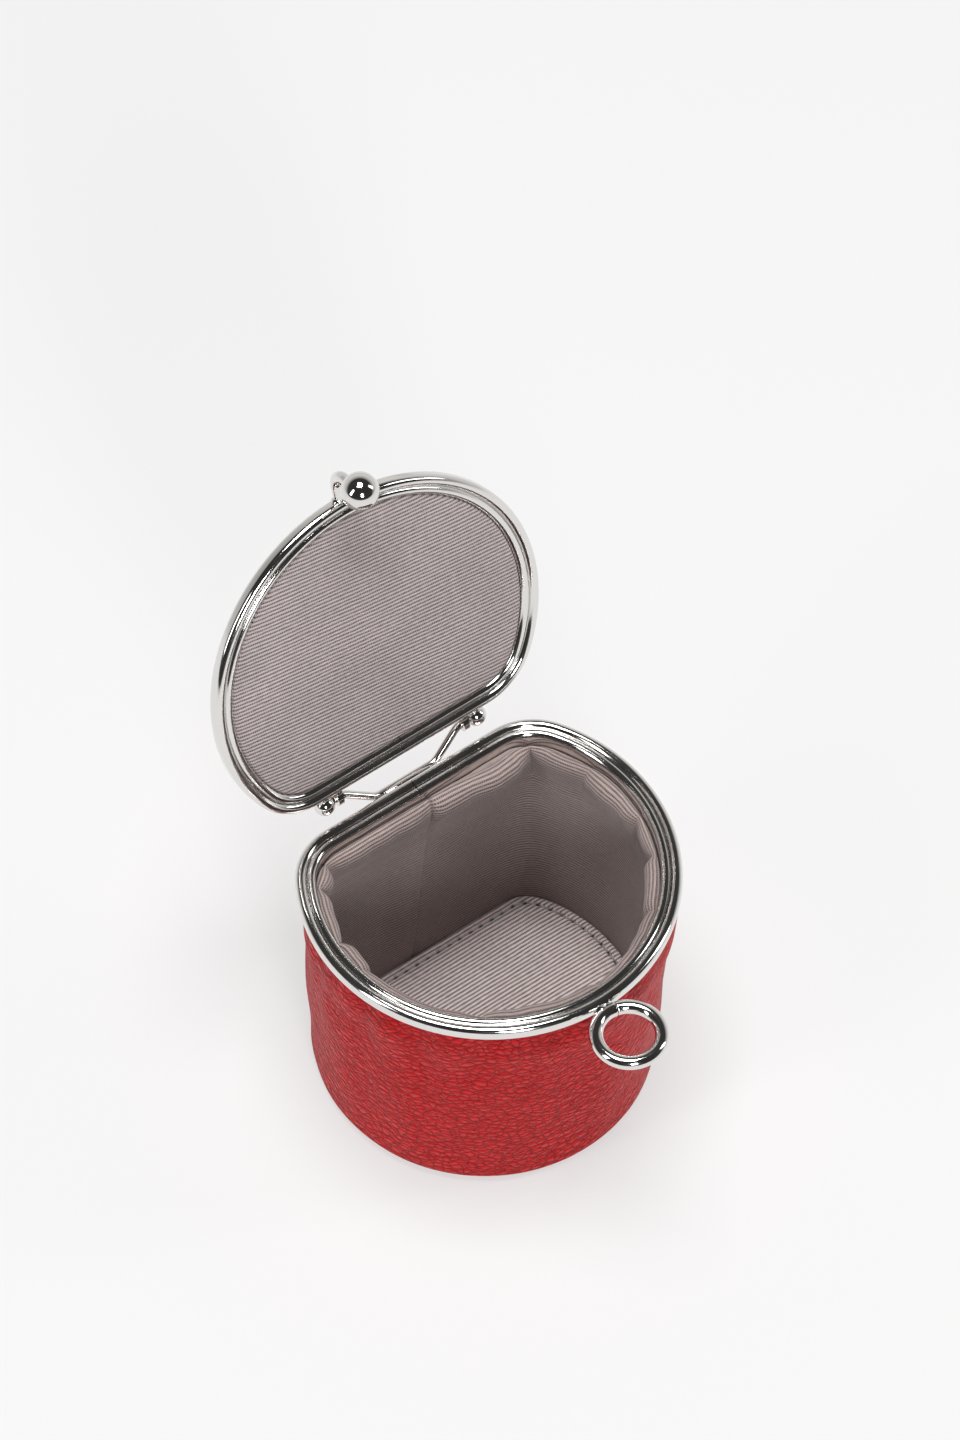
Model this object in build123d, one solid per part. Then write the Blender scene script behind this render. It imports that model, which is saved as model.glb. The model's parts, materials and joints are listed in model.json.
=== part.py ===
from build123d import *
import os
from math import atan2, cos, degrees, radians, sin, sqrt

# Hard-bottomed coin purse with a D-shaped sprung-metal frame and a padded hinged lid.
# Millimetres. The origin is on the resting face, under the centre of the frame's front
# arc. +Z is up, -Y is the front with the clasp, +Y is the back with the hinge. The lid is
# built closed and then turned open to the place where it rests.

# ---------------------------------------------------------------- driving dimensions
front_radius = 40.0       # outer edge of both frames, round the front
back_y = 28.0             # outer edge of both frames, along the straight back
corner_radius = 14.5      # outer edge of both frames, at the two back corners
frame_level = 61.8        # height of the body frame's bead centre above the table
closed_gap = 3.5          # bead centre to bead centre when the lid is shut

# frames: one sheet strip, rolled to a bead outside and a collar with a skirt inside
sheet = 0.5
bead_width = 2.4
bead_height = 3.4
slot_start = 1.95         # where the bead's lower lip ends and the channel's mouth begins
collar_rise = 1.4         # top of the collar above the bead centre
body_skirt = 3.2          # how far the inner wall reaches below the bead centre, body
lid_skirt = 2.1           # the same on the lid
butt_gap = 0.15           # the strip's two ends, at the middle of the back
channel_free = 0.5        # room left in the channel beside leather and lining
cord_diameter = 1.2       # paper cord that locks the leather's edge in the bead

# soft goods and boards
leather = 1.0
lining = 0.3
glue = 0.05               # bond line between one layer and the next
wall_board_thickness = 0.6
base_board_thickness = 1.2
insert_board_thickness = 1.2
lid_board_thickness = 1.0
foam_thickness = 2.0
base_inset = 3.7          # leather's outside at the foot, in from the frame's outer edge
bottom_radius = 3.3       # leather's outside at the bottom edge
turn_in = 1.7             # wall leather turned under past the bottom edge's bend
base_gap = 0.1            # round the base panel, inside the turned leather
insert_gap = 0.25         # round the base insert, inside the lining
lid_pad_gap = 0.1         # round the lid's pad, inside the skirt
lid_pad_face = 1.0        # lid pad's fabric face, from the bead centre towards the body
lid_edge_radius = 0.9     # lid leather's outside edge

# hinge: a wire bow soldered to the body frame, in ears on the lid frame
wire_diameter = 1.8
hinge_out = 2.97          # hinge axis behind the frames' straight edge
hinge_rise = 4.71         # hinge axis above the body frame's bead centre
open_angle = 109.2        # lid at rest against its stop, leaning back past upright
wire_bend_radius = 4.0
wire_soldered_half = 7.4  # corner of the bow's route where it leaves the frame
wire_axis_half = 14.6     # corner of the bow's route where it meets the hinge axis
hinge_ball_diameter = 4.6
hinge_ball_half = 19.3    # middle of each end ball, from the middle of the purse
ear_width = 1.3
ear_wall = 0.8
ear_web = 1.5
ear_play = 0.05           # round the wire, in the ear
ear_end_gap = 0.3         # between an ear and its end ball

# clasp: a ball on the lid that drops through a ring on the body
ball_diameter = 8.0
ball_pass = 2.6           # ring's hole less the ball
ring_wire = 3.0
ring_split = 0.15
ring_split_angle = 77.0   # where the ring's two ends meet, from +X
arm_diameter = 2.4
arm_bend_radius = 4.6
ball_drop = 10.0          # ball's middle below the lid frame's bead centre, lid shut
ball_back = 0.5           # ball's middle behind the ring's, lid shut: its arc is centred
saddle_width = 3.4        # solder saddle between the ring and the frame's bead
saddle_height = 2.0
solder = 0.02             # joint line between soldered pieces

# ---------------------------------------------------------------- the D outline
corner_y = back_y - corner_radius
corner_x = sqrt((front_radius - corner_radius) ** 2 - corner_y**2)
tangent_angle = degrees(atan2(corner_y, corner_x))


def polar(radius, angle):
    """Point at a radius and an angle in degrees."""
    return Vector(radius * cos(radians(angle)), radius * sin(radians(angle)))


def outline(inset):
    """Flat D, moved in from the frames' outer edge by inset."""
    front = front_radius - inset
    corner = corner_radius - inset
    back = back_y - inset
    half_turn = (90 + tangent_angle) / 2
    centre = Vector(corner_x, corner_y)
    right = [Vector(corner_x, back), centre + polar(corner, half_turn), polar(front, tangent_angle)]
    left = [Vector(-point.X, point.Y) for point in right]
    edges = [
        Line(left[0], right[0]),
        ThreePointArc(*right),
        ThreePointArc(right[2], Vector(0, -front), left[2]),
        ThreePointArc(left[2], left[1], left[0]),
    ]
    return Face(Wire(edges))


def plate(inset, bottom, top):
    """D-shaped slab between two heights."""
    return extrude(Pos(0, 0, bottom) * outline(inset), amount=top - bottom, dir=(0, 0, 1))


def ring(section, gap=0.0):
    """Section carried round the D. Its x is the inset, its y the height above level 0."""
    start = Plane(origin=(gap / 2, back_y, 0), x_dir=(0, -1, 0), z_dir=(-1, 0, 0))
    straight = extrude(start * section, amount=corner_x - gap / 2, dir=(1, 0, 0))
    turn = Plane(origin=(corner_x, back_y, 0), x_dir=(0, -1, 0), z_dir=(-1, 0, 0))
    corner_axis = Axis((corner_x, corner_y, 0), (0, 0, -1))
    corner = revolve(turn * section, corner_axis, revolution_arc=90 - tangent_angle)
    back = straight + corner
    edge = polar(front_radius, tangent_angle)
    inward = -edge.normalized()
    arc = Plane(origin=edge, x_dir=inward, z_dir=inward.cross(Vector(0, 0, 1)))
    front_axis = Axis((0, 0, 0), (0, 0, -1))
    front = revolve(arc * section, front_axis, revolution_arc=180 + 2 * tangent_angle)
    return front + back + mirror(back, about=Plane.YZ)


def band(inset_1, low, inset_2, high):
    """Rectangular section between two insets and two heights."""
    width, height = inset_2 - inset_1, high - low
    return Pos(inset_1 + width / 2, low + height / 2) * Rectangle(width, height)


def filled(points):
    """Section with straight sides."""
    return make_face(Polyline(*points, close=True))


# ---------------------------------------------------------------- frames
skirt_inset = slot_start + glue + leather + lining + channel_free + glue
frame_depth = skirt_inset + sheet          # from the outer edge to the inner wall's face
collar_radius = (frame_depth - bead_width) / 2 + sheet / 10
collar_inset = frame_depth - collar_radius
collar_level = collar_rise - collar_radius
bead_inset = bead_width / 2
bead_half = bead_height / 2 - bead_inset   # half of the bead's flat outer wall


def bead_shape(grow=0.0):
    """The bead's outside, grown or shrunk."""
    slot = SlotOverall(bead_height + 2 * grow, bead_width + 2 * grow, rotation=90)
    return Pos(bead_inset, 0) * slot


def frame_section(skirt):
    """Rolled strip, opening downwards between the bead's lip and the skirt."""
    collar = Pos(collar_inset, collar_level) * Circle(collar_radius)
    wall = band(collar_inset - collar_radius, -skirt, frame_depth, collar_level)
    inside = bead_shape(-sheet) + Pos(collar_inset, collar_level) * Circle(collar_radius - sheet)
    passage = band(bead_inset, -bead_half, skirt_inset, collar_level - sheet / 2)
    throat = band(slot_start, -skirt - sheet, skirt_inset, collar_level)
    throat = throat - band(slot_start, 0, collar_inset - collar_radius + sheet, collar_rise)
    return bead_shape() + collar + wall - inside - passage - throat


def paper_cord():
    """Cord in the bead, against the leather's edge."""
    return ring(Pos(bead_inset, -bead_half / 2) * Circle(cord_diameter / 2), butt_gap)


body_frame = Pos(0, 0, frame_level) * ring(frame_section(body_skirt), butt_gap)
body_frame_cord = Pos(0, 0, frame_level) * paper_cord()

# ---------------------------------------------------------------- body
leather_top = slot_start + glue            # leather's outside in the channel's mouth
mouth = -bead_height / 2                   # level of the channel's mouth
foot = bottom_radius - frame_level         # where the wall meets the bottom bend


def wall_inset(level):
    """Leather's outside on the tapered wall, at a level from the bead centre."""
    share = (mouth - level) / (mouth - foot)
    return leather_top + share * (base_inset - leather_top)


def leather_wall_section():
    """Wall strip: up into the channel, down the wall and turned under the base."""
    under = base_inset + bottom_radius + turn_in
    table = -frame_level
    foot_outside = wall_inset(table)
    foot_inside = wall_inset(table + leather) + leather
    section = filled([
        (leather_top, 0),
        (leather_top, mouth),
        (foot_outside, table),
        (under, table),
        (under, table + leather),
        (foot_inside, table + leather),
        (leather_top + leather, mouth),
        (leather_top + leather, 0),
    ])
    corners = section.vertices()
    outside = corners.sort_by_distance((foot_outside, table))[0]
    section = fillet(outside, bottom_radius)
    inside = section.vertices().sort_by_distance((foot_inside, table + leather))[0]
    return fillet(inside, bottom_radius - leather)


board_top = -body_skirt - 1.0              # wall board stops this far under the skirt
base_board_low = leather + glue
base_board_high = base_board_low + base_board_thickness
board_foot = bottom_radius - frame_level
layer_1 = leather + glue                   # wall board's outside, in from the leather's
layer_2 = layer_1 + wall_board_thickness + glue
layer_3 = layer_2 + lining                 # lining's face

wall_board_section = filled([
    (wall_inset(board_top) + layer_1, board_top),
    (wall_inset(board_foot) + layer_1, board_foot),
    (wall_inset(board_foot) + layer_2 - glue, board_foot),
    (wall_inset(board_top) + layer_2 - glue, board_top),
])

lining_inset = leather_top + leather + glue
lining_turn = -body_skirt - 0.2            # lining turns in under the skirt here
lining_foot = base_board_high + glue - frame_level
lining_bend = board_top + glue + 0.1
lining_wall_section = filled([
    (lining_inset, -lining),
    (wall_inset(lining_turn) + layer_1, lining_turn - lining / 2),
    (wall_inset(lining_bend) + layer_2, lining_bend),
    (wall_inset(lining_foot) + layer_2, lining_foot),
    (wall_inset(lining_foot) + layer_3, lining_foot),
    (wall_inset(lining_bend) + layer_3, lining_bend + lining / 2),
    (wall_inset(lining_turn) + layer_1 + lining, lining_turn),
    (lining_inset + lining, -lining),
])

body_leather_wall = Pos(0, 0, frame_level) * ring(leather_wall_section())
wall_board = Pos(0, 0, frame_level) * ring(wall_board_section)
lining_wall = Pos(0, 0, frame_level) * ring(lining_wall_section)

base_panel_inset = base_inset + bottom_radius + turn_in + base_gap
body_leather_base = plate(base_panel_inset, 0, leather)
base_board = plate(base_inset + bottom_radius, base_board_low, base_board_high)

insert_inset = wall_inset(lining_foot) + layer_3 + insert_gap
insert_low = base_board_high + glue
insert_high = insert_low + insert_board_thickness
insert_board_inset = insert_inset + lining + glue
base_insert_board = plate(insert_board_inset, insert_low, insert_high)
insert_top = plate(insert_inset, insert_high, insert_high + lining)
insert_edge = plate(insert_inset, insert_low, insert_high) - plate(
    insert_inset + lining, insert_low, insert_high
)
lining_base = insert_top + insert_edge

# ---------------------------------------------------------------- hinge, body side
axis_y = back_y + hinge_out
axis_z = frame_level + hinge_rise
wire_radius = wire_diameter / 2
wire_y = back_y + wire_radius + solder
ball_inner = hinge_ball_half - hinge_ball_diameter / 2
ball_bore = hinge_ball_diameter / 3
wire_end = ball_inner + ball_bore - solder


def hinge_wire():
    """One bent wire: ends on the hinge axis, middle along the frame's back."""
    right = [
        Vector(wire_soldered_half, wire_y, frame_level),
        Vector(wire_axis_half, axis_y, axis_z),
        Vector(wire_end, axis_y, axis_z),
    ]
    left = [Vector(-point.X, point.Y, point.Z) for point in reversed(right)]
    path = FilletPolyline(*left, *right, radius=wire_bend_radius)
    profile = Plane(origin=left[0], z_dir=(1, 0, 0)) * Circle(wire_radius)
    return sweep(profile, path=path)


def hinge_ball(side):
    """End ball, bored for the wire."""
    ball = Rot(0, 0, 90) * Sphere(hinge_ball_diameter / 2)
    ball = Pos(side * hinge_ball_half, axis_y, axis_z) * ball
    bore_length = ball_bore + hinge_ball_diameter / 2
    bore_x = ball_inner + ball_bore - bore_length / 2
    bore = Cylinder(wire_radius + solder, bore_length, rotation=(0, 90, 0))
    return ball - Pos(side * bore_x, axis_y, axis_z) * bore


hinge_bracket = hinge_wire()

# ---------------------------------------------------------------- clasp, body side
ring_hole = ball_diameter + ball_pass
ring_middle = (ring_hole + ring_wire) / 2  # radius of the ring wire's centre line
ring_y = -(front_radius + ring_hole / 2 + ring_wire + solder)
ring_place = Pos(0, ring_y, frame_level)


def clasp_ring_piece():
    """Round wire bent to a ring, its ends nearly meeting, with its solder saddle."""
    torus = Torus(ring_middle, ring_wire / 2)
    split = Pos(ring_middle, 0) * Box(2 * ring_wire, ring_split, 2 * ring_wire)
    wire = ring_place * (torus - Rot(0, 0, ring_split_angle) * split)
    reach = ring_wire / 2 + bead_inset / 2
    block = Box(saddle_width, reach, saddle_height, align=(Align.CENTER, Align.MAX, Align.CENTER))
    saddle = Pos(0, -front_radius + bead_inset / 2, frame_level) * block
    bead = Pos(0, 0, frame_level) * ring(bead_shape(solder))
    return wire + (saddle - bead)


clasp_ring = clasp_ring_piece()

# ---------------------------------------------------------------- lid, built closed
lid_level = frame_level + closed_gap


def lid_place(shape):
    """Turn a piece built bead-down over, on to the lid's level."""
    return Pos(0, 0, lid_level) * mirror(shape, about=Plane.XY)


lid_pad_inset = frame_depth + lid_pad_gap
lid_board_inset = lid_pad_inset + lining + glue
lid_board_high = lid_pad_face - lining
lid_board_low = lid_board_high - lid_board_thickness
foam_low = lid_board_low - foam_thickness

lid_lining_face = plate(lid_pad_inset, lid_board_high, lid_pad_face)
lid_lining_edge = plate(lid_pad_inset, lid_board_low, lid_board_high) - plate(
    lid_pad_inset + lining, lid_board_low, lid_board_high
)
lid_leather_panel = plate(leather_top, foam_low - leather, foam_low)
panel_edge = lid_leather_panel.faces().sort_by(Axis.Z)[0].edges()
lid_leather_panel = fillet(panel_edge, lid_edge_radius)
lid_leather_rim = ring(band(leather_top, foam_low, leather_top + leather, 0))

arm_y = ring_y + ball_back
ball_level = lid_level - ball_drop
ball_radius = ball_diameter / 2
arm_radius = arm_diameter / 2
arm_bore = ball_radius - arm_diameter      # where the arm's end stops, above the middle


def lid_bead():
    """The lid bead's outside, grown by a solder line, to cope pieces against."""
    return lid_place(ring(bead_shape(solder)))


def clasp_gooseneck():
    """Arm: out from the lid's bead, then down to the ball."""
    start = Vector(0, -front_radius + bead_inset / 2, lid_level)
    corner = Vector(0, arm_y, lid_level)
    end = Vector(0, arm_y, ball_level + arm_bore)
    path = FilletPolyline(start, corner, end, radius=arm_bend_radius)
    profile = Plane(origin=start, z_dir=(0, -1, 0)) * Circle(arm_radius)
    return sweep(profile, path=path) - lid_bead()


def clasp_ball_piece():
    """Ball, bored from above for the arm."""
    bore = Cylinder(arm_radius + solder, ball_diameter, align=(Align.CENTER, Align.CENTER, Align.MIN))
    ball = Sphere(ball_radius) - Pos(0, 0, arm_bore - solder) * bore
    return Pos(0, arm_y, ball_level) * ball


def hinge_ear(side):
    """Knuckle round the wire, with a web coped to the lid's bead."""
    outer = wire_radius + ear_play + ear_wall
    ear_x = side * (ball_inner - ear_end_gap - ear_width / 2)
    bead_dy = back_y - bead_inset / 2 - axis_y
    bead_dz = lid_level - axis_z
    reach = sqrt(bead_dy**2 + bead_dz**2)
    tilt = degrees(atan2(bead_dz, bead_dy))
    knuckle = Cylinder(outer, ear_width, rotation=(0, 90, 0))
    web = Box(ear_width, reach, ear_web, align=(Align.CENTER, Align.MIN, Align.CENTER))
    bore = Cylinder(wire_radius + ear_play, 2 * ear_width, rotation=(0, 90, 0))
    ear = knuckle + Rot(tilt, 0, 0) * web - bore
    return Pos(ear_x, axis_y, axis_z) * ear - lid_bead()


hinge_axis = Axis((0, axis_y, axis_z), (1, 0, 0))
lid_pieces = {
    "lid_frame": lid_place(ring(frame_section(lid_skirt), butt_gap)),
    "lid_frame_cord": lid_place(paper_cord()),
    "lid_leather": lid_place(lid_leather_panel + lid_leather_rim),
    "lid_foam": lid_place(plate(lid_board_inset, foam_low, lid_board_low)),
    "lid_board": lid_place(plate(lid_board_inset, lid_board_low, lid_board_high)),
    "lid_lining": lid_place(lid_lining_face + lid_lining_edge),
    "hinge_ear_left": hinge_ear(-1),
    "hinge_ear_right": hinge_ear(1),
    "clasp_arm": clasp_gooseneck(),
    "clasp_ball": clasp_ball_piece(),
}

# ---------------------------------------------------------------- write the pieces
pieces = {
    "body_frame": body_frame,
    "body_frame_cord": body_frame_cord,
    "body_leather_wall": body_leather_wall,
    "body_leather_base": body_leather_base,
    "wall_board": wall_board,
    "base_board": base_board,
    "lining_wall": lining_wall,
    "base_insert_board": base_insert_board,
    "lining_base": lining_base,
    "hinge_bracket": hinge_bracket,
    "hinge_ball_left": hinge_ball(-1),
    "hinge_ball_right": hinge_ball(1),
    "clasp_ring": clasp_ring,
}
for name, piece in lid_pieces.items():
    pieces[name] = piece.rotate(hinge_axis, -open_angle)

os.makedirs("parts", exist_ok=True)
for name, piece in pieces.items():
    export_step(piece, f"parts/{name}.step")
    box = piece.bounding_box()
    print(f"{name}: {piece.volume:.1f} mm3, {box.size.X:.1f} x {box.size.Y:.1f} x {box.size.Z:.1f}")
print(f"hinge axis at y {axis_y:.2f}, z {axis_z:.2f}; ring centre y {ring_y:.2f}")
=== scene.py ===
import json
import math
import bmesh
import bpy
from mathutils import Matrix, Vector, noise


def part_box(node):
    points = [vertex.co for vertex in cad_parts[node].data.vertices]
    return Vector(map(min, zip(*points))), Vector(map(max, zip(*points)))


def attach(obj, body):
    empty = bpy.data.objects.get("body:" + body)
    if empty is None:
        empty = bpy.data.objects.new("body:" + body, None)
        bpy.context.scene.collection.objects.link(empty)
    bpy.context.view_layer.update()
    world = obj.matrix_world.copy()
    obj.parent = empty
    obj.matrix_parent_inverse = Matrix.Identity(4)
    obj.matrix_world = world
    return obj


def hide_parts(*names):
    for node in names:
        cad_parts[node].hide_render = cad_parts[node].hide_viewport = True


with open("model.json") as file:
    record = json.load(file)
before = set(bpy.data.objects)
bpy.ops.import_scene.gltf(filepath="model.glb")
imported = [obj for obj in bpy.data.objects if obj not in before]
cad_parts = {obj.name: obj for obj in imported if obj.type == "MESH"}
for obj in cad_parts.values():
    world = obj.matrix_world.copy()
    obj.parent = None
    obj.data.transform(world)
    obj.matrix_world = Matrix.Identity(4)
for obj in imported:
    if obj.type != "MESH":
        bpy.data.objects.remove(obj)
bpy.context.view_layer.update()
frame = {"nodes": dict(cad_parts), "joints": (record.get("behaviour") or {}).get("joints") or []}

# Coin purse with a sprung frame, standing open. Pieces are modelled in millimetres around
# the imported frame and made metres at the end. The lid is modelled bead down, like the
# body's frame, then turned over and swung open to where the hinge holds it.
mm = 1000.0
up = Vector((0, 0, 1))

frameHigh = Vector(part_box("body_frame")[1]) * mm
purse = {
    "frontRadius": frameHigh.x,      # outer edge of the frames, round the front
    "backY": frameHigh.y,            # and along the straight back
    "cornerRadius": 14.5,            # and at the two back corners
    "beadHeight": 3.4,
    "closedGap": 3.5,                # bead middle to bead middle with the lid shut
}
beadLevel = frameHigh.z - purse["beadHeight"] / 2
cornerY = purse["backY"] - purse["cornerRadius"]
cornerX = math.sqrt((purse["frontRadius"] - purse["cornerRadius"]) ** 2 - cornerY ** 2)
tangent = math.atan2(cornerY, cornerX)

hinge = frame["joints"][0]
hingeAt = Vector(hinge["pos_m"]) * mm
openTurn = -math.radians(hinge["range_deg"][1])
swingOpen = (Matrix.Translation(hingeAt) @ Matrix.Rotation(openTurn, 4, "X")
             @ Matrix.Translation(-hingeAt))
lidUp = (swingOpen @ Matrix.Translation(up * (beadLevel + purse["closedGap"]))
         @ Matrix.Rotation(math.pi, 4, "Y"))
bodyUp = Matrix.Translation(up * beadLevel)


# carrying shapes round the D
def arc(middle, radius, start, end, count):
    angles = [math.radians(start + (end - start) * i / count) for i in range(count + 1)]
    return [(middle[0] + radius * math.cos(a), middle[1] + radius * math.sin(a)) for a in angles]


def drawProfile(bm, points, x, closed):
    # profile points are (inset from the outer edge, height above the bead's middle)
    verts = [bm.verts.new((x, purse["backY"] - inset, level)) for inset, level in points]
    pairs = list(zip(verts, verts[1:]))
    if closed:
        pairs.append((verts[-1], verts[0]))
    return verts + [bm.edges.new(pair) for pair in pairs]


def pull(bm, last, move, steps):
    for _ in range(steps):
        verts = [part for part in last if isinstance(part, bmesh.types.BMVert)]
        edges = [part for part in last if isinstance(part, bmesh.types.BMEdge)]
        if edges:
            made = bmesh.ops.extrude_edge_only(bm, edges=edges)["geom"]
        else:
            made = bmesh.ops.extrude_vert_indiv(bm, verts=verts)["verts"]
        last = [part for part in made if not isinstance(part, bmesh.types.BMFace)]
        verts = [part for part in last if isinstance(part, bmesh.types.BMVert)]
        bmesh.ops.translate(bm, verts=verts, vec=move / steps)
    return last


def turn(bm, last, centre, angle, steps, axis=up):
    made = bmesh.ops.spin(bm, geom=last, cent=centre, axis=axis, dvec=(0, 0, 0),
                          angle=angle, steps=steps, use_merge=False)
    return made["geom_last"]


def carryRound(bm, last, gap, pitch):
    # right half of the back, right corner, front, left corner, left half of the back
    straight = Vector((cornerX - gap / 2, 0, 0))
    quarter = math.pi / 2 - tangent
    front = math.pi + 2 * tangent
    backSteps = max(1, round(straight.x / pitch))
    cornerSteps = max(10, round(quarter * purse["cornerRadius"] / pitch))
    frontSteps = max(84, round(front * purse["frontRadius"] / pitch))
    last = pull(bm, last, straight, backSteps)
    last = turn(bm, last, (cornerX, cornerY, 0), -quarter, cornerSteps)
    last = turn(bm, last, (0, 0, 0), -front, frontSteps)
    last = turn(bm, last, (-cornerX, cornerY, 0), -quarter, cornerSteps)
    return pull(bm, last, straight, backSteps)


def inward(spot):
    # level direction from a point on the D towards its middle
    if spot.y > cornerY and abs(spot.x) <= cornerX:
        return Vector((0, -1, 0))
    if spot.y > abs(spot.x) * math.tan(tangent):
        centre = Vector((math.copysign(cornerX, spot.x), cornerY, 0))
    else:
        centre = Vector((0, 0, 0))
    way = centre - spot
    way.z = 0
    return way.normalized()


def insetOf(spot):
    # how far a point lies in from the frames' outer edge
    aside = Vector((abs(spot.x) - cornerX, spot.y - cornerY))
    if aside.x > 0 and aside.y > aside.x * math.tan(tangent):
        return purse["cornerRadius"] - aside.length
    return min(purse["backY"] - spot.y, purse["frontRadius"] - spot.xy.length)


def alongD(spot, inset):
    # length along the D from the middle of the back, going to +X, and the whole length
    small = purse["cornerRadius"] - inset
    big = purse["frontRadius"] - inset
    half = cornerX + (math.pi / 2 - tangent) * small + (math.pi / 2 + tangent) * big
    x = abs(spot.x)
    if x <= cornerX and spot.y > cornerY:
        length = x
    elif spot.y > x * math.tan(tangent):
        length = cornerX + (math.pi / 2 - math.atan2(spot.y - cornerY, x - cornerX)) * small
    else:
        length = (cornerX + (math.pi / 2 - tangent) * small
                  + (tangent - math.atan2(spot.y, x)) * big)
    return (length if spot.x >= 0 else 2 * half - length), 2 * half


def closeOver(bm, last, rings, middle=(0, -4)):
    # rings drawn in towards the middle from an edge loop, and closed there
    centre = Vector((middle[0], middle[1], 0))
    for i in range(rings):
        made = bmesh.ops.extrude_edge_only(
            bm, edges=[part for part in last if isinstance(part, bmesh.types.BMEdge)])["geom"]
        last = [part for part in made if not isinstance(part, bmesh.types.BMFace)]
        verts = [part for part in last if isinstance(part, bmesh.types.BMVert)]
        share = (rings - i - 1) / (rings - i)
        if i == rings - 1:
            bmesh.ops.pointmerge(bm, verts=verts, merge_co=centre + up * verts[0].co.z)
            return
        bmesh.ops.scale(bm, verts=verts, vec=(share, share, 1),
                        space=Matrix.Translation(-centre))


def innerLoop(bm, least):
    # boundary edges further in than an inset
    return [edge for edge in bm.edges
            if edge.is_boundary and min(insetOf(v.co) for v in edge.verts) > least]


def fade(value, start, end):
    # 0 before the start, 1 past the end
    return min(1.0, max(0.0, (value - start) / (end - start)))


def noiseAt(spot, size, seed=0.0):
    return noise.noise(Vector((spot.x / size + seed, spot.y / size - seed, spot.z / size)))


def clothMap(bm, place):
    # the cloth's own map, in millimetres along and across its ribs
    layer = bm.loops.layers.uv.new("cloth")
    for face in bm.faces:
        middle = place(face.calc_center_median())
        for loop in face.loops:
            here = place(loop.vert.co)
            around = here[2] if len(here) > 2 else 0
            along = here[0]
            if around and along - middle[0] > around / 2:
                along -= around
            if around and middle[0] - along > around / 2:
                along += around
            loop[layer].uv = (along, here[1])


def finishPiece(name, bm, material, body, nodes, place=None, sharp=40, outward=True):
    # makes the piece metres, in place, hides the imported nodes it stands for, and hangs it on its
    # body's empty
    if place:
        bmesh.ops.transform(bm, matrix=place, verts=bm.verts)
    bmesh.ops.remove_doubles(bm, verts=bm.verts, dist=0.0005)
    if outward:
        bmesh.ops.recalc_face_normals(bm, faces=bm.faces)
    bmesh.ops.scale(bm, verts=bm.verts, vec=(1 / mm, 1 / mm, 1 / mm))
    mesh = bpy.data.meshes.new(name)
    bm.to_mesh(mesh)
    bm.free()
    mesh.shade_smooth()
    mesh.set_sharp_from_angle(angle=math.radians(sharp))
    piece = bpy.data.objects.new(name, mesh)
    bpy.context.scene.collection.objects.link(piece)
    mesh.materials.append(material)
    if nodes:
        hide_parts(*nodes)
    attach(piece, body)
    return piece


def addModifier(piece, kind, **settings):
    modifier = piece.modifiers.new(kind.title().replace("_", ""), kind)
    for key, value in settings.items():
        setattr(modifier, key, value)
    return modifier


# node helpers for the finishes
class Finish:
    def __init__(self, name):
        self.material = bpy.data.materials.new(name)
        self.material.use_nodes = True
        self.tree = self.material.node_tree
        self.shader = self.tree.nodes["Principled BSDF"]

    def node(self, kind, inputs=None, **settings):
        node = self.tree.nodes.new(kind)
        for key, value in settings.items():
            setattr(node, key, value)
        for key, value in (inputs or {}).items():
            self.feed(node.inputs[key], value)
        return node

    def feed(self, socket, value):
        if isinstance(value, bpy.types.NodeSocket):
            self.tree.links.new(value, socket)
        else:
            socket.default_value = value

    def maths(self, operation, a, b=0.0, c=0.0):
        return self.node("ShaderNodeMath", {0: a, 1: b, 2: c}, operation=operation).outputs[0]

    def span(self, value, low, high, toLow=0.0, toHigh=1.0):
        node = self.node("ShaderNodeMapRange", {0: value, 1: low, 2: high, 3: toLow, 4: toHigh})
        return node.outputs[0]

    def noise(self, vector, scale, detail=2.0, distortion=0.0):
        node = self.node("ShaderNodeTexNoise", {
            "Vector": vector, "Scale": scale, "Detail": detail, "Distortion": distortion})
        return node.outputs["Fac"]

    def stretch(self, vector, scale, rotation=(0, 0, 0)):
        node = self.node("ShaderNodeMapping", {
            "Vector": vector, "Scale": scale, "Rotation": rotation})
        return node.outputs[0]

    def blend(self, share, a, b, kind="MIX"):
        node = self.node("ShaderNodeMix", data_type="RGBA", blend_type=kind)
        self.feed(node.inputs[0], share)
        for socket, value in ((node.inputs[6], a), (node.inputs[7], b)):
            self.feed(socket, (*value, 1) if isinstance(value, tuple) else value)
        return node.outputs[2]

    def bump(self, height, strength, distance, under=None):
        # distance in metres
        node = self.node("ShaderNodeBump", {
            "Strength": strength, "Distance": distance, "Height": height})
        if under:
            self.feed(node.inputs["Normal"], under)
        return node.outputs[0]

    def set(self, **sockets):
        for key, value in sockets.items():
            name = key.replace("_", " ")
            self.feed(self.shader.inputs[name], value)
        return self.material


def places(finish):
    return finish.node("ShaderNodeTexCoord").outputs["Object"]


def clothPlaces(finish):
    return finish.node("ShaderNodeUVMap", uv_map="cloth").outputs[0]


# finishes
nickel = {"colour": (0.76, 0.745, 0.725), "roughness": 0.08}


def nickelFinish():
    finish = Finish("polishedNickel")
    spot = places(finish)
    haze = finish.span(finish.noise(spot, 160, 2), 0.35, 0.75, nickel["roughness"], 0.13)
    return finish.set(Base_Color=(*nickel["colour"], 1), Metallic=1.0, Roughness=haze)


leather = {
    "red": (0.62, 0.005, 0.008),
    # deep: the red painted darker in the creases and on each pebble's low side: painted shade
    "deep": (0.40, 0.002, 0.004),
    "worn": (0.72, 0.016, 0.018),
    "upright": (0.85, 0.42),         # pebbles to a millimetre, round the purse and up it
    "lying": (0.46, 0.80),
    "turnStart": 82,                 # where the grain turns, along the D from the back
    "turnEnd": 112,
}


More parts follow.
